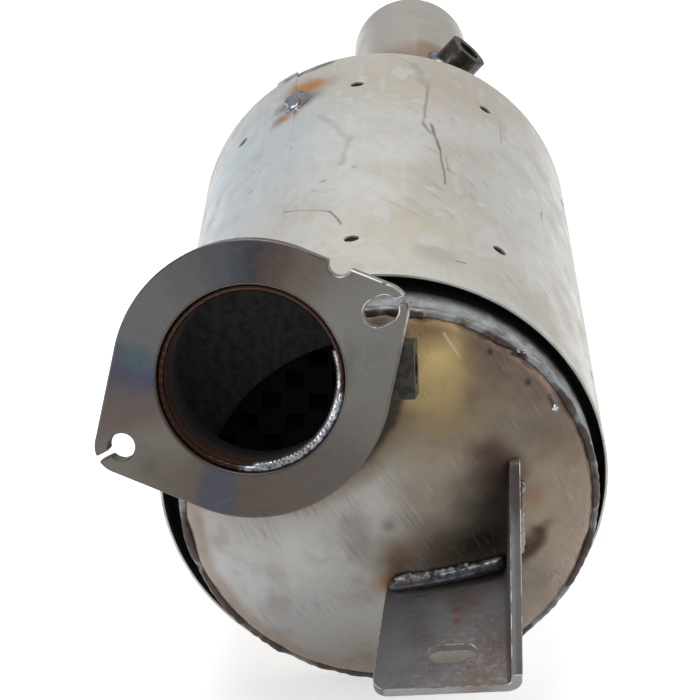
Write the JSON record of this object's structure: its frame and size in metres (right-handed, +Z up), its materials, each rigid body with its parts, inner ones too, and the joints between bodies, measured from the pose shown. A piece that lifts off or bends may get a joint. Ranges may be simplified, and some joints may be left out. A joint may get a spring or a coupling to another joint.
{
  "type": "diesel particulate filter",
  "caption": "Cylindrical exhaust filter can in a heat shield, with a tilted two-ear inlet flange, a plain outlet pipe, sensor ports and a welded bracket.",
  "frame": {"origin": "centre of the inlet flange face, in the plane of its gasket", "axes": "+Y along the body axis from the inlet to the outlet, +Z up, +X to the right seen from the inlet"},
  "size_m": [0.2078, 0.5302, 0.2258],
  "materials": {
    "shield_steel": "dull rolled stainless sheet",
    "can_steel": "rolled stainless sheet",
    "cone_steel": "pressed stainless sheet with heat tint",
    "flange_steel": "cut plate with blue and brown heat tint",
    "pipe_steel": "drawn stainless tube",
    "bracket_steel": "folded plate, mill finish",
    "weld_metal": "rippled weld bead",
    "filter_ceramic": "porous fired ceramic",
    "mat_fibre": "pressed fibre mat",
    "seal_wire": "knitted wire",
    "blanket_fibre": "dark fibre blanket"
  },
  "bodies": {
    "root": {"inlet_flange": "flange_steel", "inlet_pipe": "pipe_steel", "inlet_sensor_boss": "flange_steel", "front_end_cone": "cone_steel", "can_shell": "can_steel", "rear_end_plate": "can_steel", "outlet_pipe": "pipe_steel", "outlet_sensor_boss": "flange_steel", "heat_shield": "shield_steel", "insulation_blanket": "blanket_fibre", "filter_monolith": "filter_ceramic", "support_mat": "mat_fibre", "front_mat_seal": "seal_wire", "rear_mat_seal": "seal_wire", "mounting_bracket": "bracket_steel", "flange_weld": "weld_metal", "inlet_pipe_weld": "weld_metal", "front_seam_weld": "weld_metal", "rear_seam_weld": "weld_metal", "outlet_pipe_weld": "weld_metal", "bracket_welds": "weld_metal", "sensor_boss_welds": "weld_metal", "shield_tack_welds": "weld_metal"}
  },
  "joints": []
}
